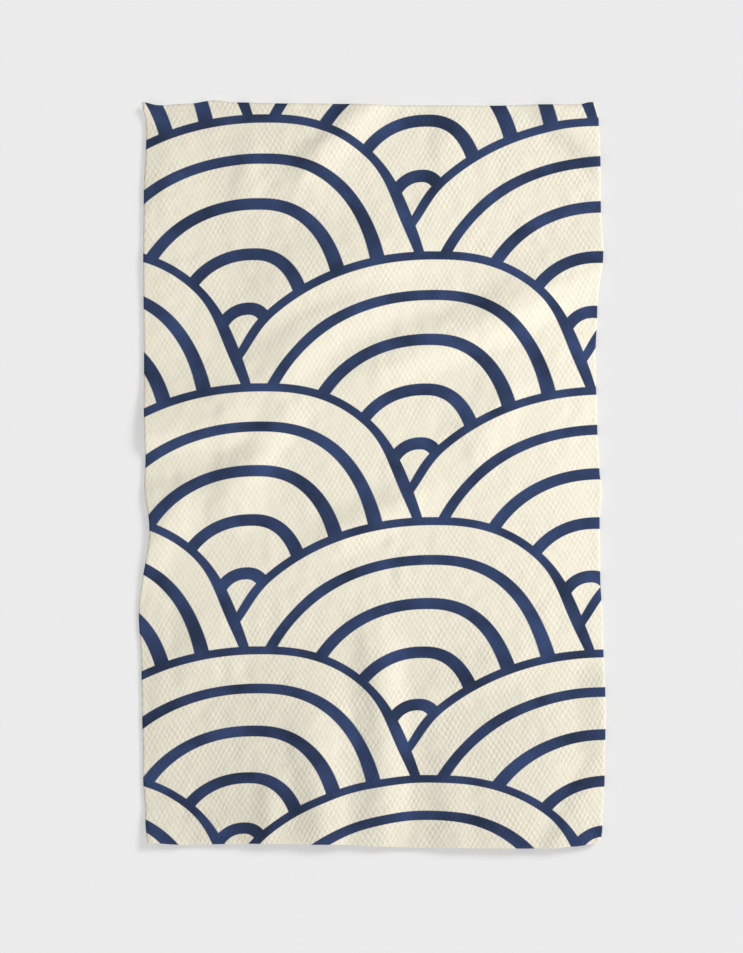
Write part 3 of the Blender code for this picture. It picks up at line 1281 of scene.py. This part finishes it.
@dataclass(frozen=True)
class HemStitching:
    """The hem's seam: a row of short lockstitches on each face of the towel, all round it."""

    shape: LaidShape
    finish: ThreadFinish
    pitch: float = 3.2
    length: float = 2.4
    thickness: float = 0.28
    sides: int = 6
    # Where a stitch bends down, as a share of its half-length, and how much narrower its ends are
    bend_at: float = 0.6
    end_taper: float = 0.35
    corner_gap: float = 1.5

    def seam_points(self) -> list[tuple[float, float, float]]:
        """Places the stitches along the four sides.

        Returns:
            Each stitch's plain x and y, and the angle that it runs at.
        """
        inset = self.shape.seam_inset
        reach_x = self.shape.half_width - inset
        reach_y = self.shape.half_length - inset
        points = []
        for reach, across, angle in ((reach_y, reach_x, math.pi / 2.0), (reach_x, reach_y, 0.0)):
            run = 2.0 * (reach - self.corner_gap)
            count = round(run / self.pitch)
            for i in range(count):
                along = -run / 2.0 + run * (i + 0.5) / count
                for side in (-1.0, 1.0):
                    place = (side * across, along) if angle else (along, side * across)
                    points.append((*place, angle))
        return points

    def model_stitch(self) -> bpy.types.Object:
        """Models one stitch: a short round bar that dips into the cloth at both ends.

        Returns:
            A scratch object that the seam's meshes are copied from, in metres.
        """
        half = self.length / 2.0 * METRE
        radius = self.thickness / 2.0 * METRE
        along = (0.0, math.pi / 2.0, 0.0)
        size = {"vertices": self.sides, "radius": radius, "depth": 2.0 * half}
        deselect_all()
        bpy.ops.mesh.primitive_cylinder_add(rotation=along, **size)
        stitch = bpy.context.active_object
        bpy.ops.object.transform_apply(rotation=True)
        bpy.ops.object.mode_set(mode="EDIT")
        for share in (-self.bend_at, 0.0, self.bend_at):
            bpy.ops.mesh.select_all(action="SELECT")
            bpy.ops.mesh.bisect(plane_co=(share * half, 0, 0), plane_no=(1, 0, 0))
        bpy.ops.object.mode_set(mode="OBJECT")
        for point in stitch.data.vertices:
            share = abs(point.co.x) / half
            point.co.z -= self.thickness * METRE * share**2
            point.co.y *= 1.0 - self.end_taper * share**3
        return stitch

    def _sew(self, sewn: bmesh.types.BMesh, stitch: bpy.types.Mesh, place: Matrix, face: Face) -> None:
        """Copies the modelled stitch to one place of the seam.

        Args:
            sewn: The seam's mesh so far.
            stitch: The modelled stitch.
            place: How the copy is turned and where it goes, in metres.
            face: The face of the towel that it lies on.
        """
        first_point = len(sewn.verts)
        first_face = len(sewn.faces)
        sewn.from_mesh(stitch)
        sewn.verts.ensure_lookup_table()
        sewn.faces.ensure_lookup_table()
        bmesh.ops.transform(sewn, matrix=place, verts=sewn.verts[first_point:])
        for part in sewn.faces[first_face:]:
            part.material_index = face.value

    def build(self, ink: bpy.types.NodeTree) -> bpy.types.Object:
        """Sews the seam on both faces of the towel.

        Args:
            ink: The print's node group.

        Returns:
            The finished piece.
        """
        stitch = self.model_stitch()
        sewn = bmesh.new()
        for x, y, angle in self.seam_points():
            above, normal = self.shape.frame_at(x, y)
            below = above - normal * self.shape.thickness(x, y)
            ahead = self.shape.upper_face(x + math.cos(angle), y + math.sin(angle))
            run = (ahead - above).normalized()
            for face, point, up in ((Face.PRINTED, above, normal), (Face.BACK, below, -normal)):
                side = up.cross(run).normalized()
                turn = Matrix((run, side, run.cross(side))).transposed().to_4x4()
                self._sew(sewn, stitch.data, Matrix.Translation(point * METRE) @ turn, face)
        bpy.data.objects.remove(stitch, do_unlink=True)
        mesh = bpy.data.meshes.new("hem_stitching")
        bmesh.ops.recalc_face_normals(sewn, faces=sewn.faces)
        sewn.to_mesh(mesh)
        sewn.free()
        mesh.shade_smooth()
        seam = bpy.data.objects.new("hem_stitching", mesh)
        bpy.context.scene.collection.objects.link(seam)
        materials = self.finish.materials(ink)
        for face in Face:
            mesh.materials.append(materials[face])
        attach(seam, "root")
        return seam


@dataclass(frozen=True)
class Studio:
    """The pale floor, the soft light and the camera straight above the towel, in metres and degrees."""

    floor_size: float = 120.0
    floor_gap: float = 0.0003
    floor_colour: str = "#e7e7e7"
    backdrop: float = 0.8388
    sky: float = 0.315
    # The low wide light from the right that shows up the towel's folds
    side: Sun = Sun("side_light", -24.0, 30.0, 26.0, 0.42)
    # The wide light that draws the towel's soft shadow to its lower left
    shadow: Sun = Sun("shadow_light", 42.0, 32.0, 20.0, 0.24)
    # The light straight above that keeps the floor as pale as the backdrop and casts no shadow
    overhead: Sun = Sun("overhead_light", 0.0, 90.0, 0.0, 0.492)
    sun_distance: float = 3.0
    lamp_azimuth: float = 14.0
    lamp_elevation: float = 60.0
    lamp_distance: float = 0.95
    lamp_width: float = 0.4
    lamp_share: float = 0.386
    lens: float = 100.0
    sensor: float = 36.0
    view_height: float = 0.953
    view_centre: tuple[float, float] = (-0.0005, -0.0021)
    view_depth: float = 100.0

    def build(self, lit: list[bpy.types.Object]) -> None:
        """Sets up the studio.

        Args:
            lit: The pieces that the towel's own lights are for.
        """
        floor = self.add_floor()
        self.add_world()
        self.add_sun(self.side, lit)
        self.add_lamp(lit)
        self.add_sun(self.shadow, [floor])
        self.add_sun(self.overhead, [floor])
        self.add_camera()
        bpy.context.scene.view_settings.view_transform = "Standard"

    def add_floor(self) -> bpy.types.Object:
        """Lays the floor, a wide sheet of matt pale board.

        Returns:
            The floor.
        """
        deselect_all()
        bpy.ops.mesh.primitive_plane_add(size=self.floor_size, location=(0.0, 0.0, 0.0))
        floor = bpy.context.active_object
        floor.name = "studio_floor"
        for point in floor.data.vertices:
            point.co.z = -self.floor_gap
        # Matt paint on a smooth board: one even grey that no light glints off
        surface = {"Base Color": linear(self.floor_colour), "Roughness": 1.0, "Specular IOR Level": 0.0}
        material, _ = new_material("matt_painted_board", surface)
        floor.data.materials.append(material)
        return floor

    def add_world(self) -> None:
        """Lights the scene evenly from all round, and shows the floor's own colour past its far edge."""
        world = bpy.data.worlds.new("studio_world")
        world.use_nodes = True
        tree = world.node_tree
        seen = add_node(tree, "ShaderNodeLightPath").outputs["Is Camera Ray"]
        values = (seen, self.backdrop - self.sky, self.sky)
        strength = add_node(tree, MATH, values, operation="MULTIPLY_ADD")
        background = tree.nodes["Background"]
        background.inputs["Color"].default_value = (1.0, 1.0, 1.0, 1.0)
        tree.links.new(strength.outputs[0], background.inputs["Strength"])
        bpy.context.scene.world = world

    def add_light(
        self, name: str, kind: str, place: Vector, receivers: list[bpy.types.Object]
    ) -> bpy.types.Object:
        """Adds a light that points at the middle of the towel.

        Args:
            name: The light's name.
            kind: Its Blender type.
            place: Where it stands, in metres.
            receivers: The only objects that it lights. All objects still cast its shadows.

        Returns:
            The light's object.
        """
        light = bpy.data.objects.new(name, bpy.data.lights.new(name, kind))
        light.location = place
        light.rotation_mode = "QUATERNION"
        light.rotation_quaternion = place.to_track_quat("Z", "Y")
        bpy.context.scene.collection.objects.link(light)
        lit = bpy.data.collections.new(f"lit_by_{name}")
        for thing in receivers:
            lit.objects.link(thing)
        light.light_linking.receiver_collection = lit
        return light

    def add_sun(self, sun: Sun, receivers: list[bpy.types.Object]) -> None:
        """Adds one of the distant lights.

        Args:
            sun: The light's settings.
            receivers: The only objects that it lights.
        """
        towards = direction(sun.azimuth, sun.elevation)
        light = self.add_light(sun.name, "SUN", towards * self.sun_distance, receivers)
        light.data.angle = math.radians(sun.softness)
        light.data.energy = sun.share * math.pi / towards.z

    def add_lamp(self, receivers: list[bpy.types.Object]) -> None:
        """Adds the softbox close above the towel's right, which makes that side the brighter one.

        Args:
            receivers: The only objects that it lights.
        """
        towards = direction(self.lamp_azimuth, self.lamp_elevation)
        lamp = self.add_light("softbox", "AREA", towards * self.lamp_distance, receivers)
        lamp.data.shape = "DISK"
        lamp.data.size = self.lamp_width
        lamp.data.energy = self.lamp_share * math.pi**2 * self.lamp_distance**2 / towards.z
        lamp.visible_camera = False

    def add_camera(self) -> None:
        """Adds the camera, straight above, with a long lens."""
        data = bpy.data.cameras.new("camera")
        data.lens = self.lens
        data.sensor_width = self.sensor
        data.clip_end = self.view_depth
        camera = bpy.data.objects.new("camera", data)
        camera.location = (*self.view_centre, self.view_height * self.lens / self.sensor)
        bpy.context.scene.collection.objects.link(camera)
        bpy.context.scene.camera = camera


def main() -> None:
    """Builds the towel's pieces and the studio, and logs how many faces each piece has."""
    logging.basicConfig(level=logging.INFO, format="%(name)s: %(message)s")
    shape = LaidShape()
    ink = WavePrint().group()
    cloth = TowelCloth(shape, CottonFinish()).build(ink)
    log.info("%s: %d faces", cloth.name, len(cloth.data.polygons))
    seam = HemStitching(shape, ThreadFinish()).build(ink)
    log.info("%s: %d faces", seam.name, len(seam.data.polygons))
    # The flat cloth is its laid size and the 3 to 4 mm that the folds take up each way
    Studio().build([cloth, seam])


if __name__ == "__main__":
    main()
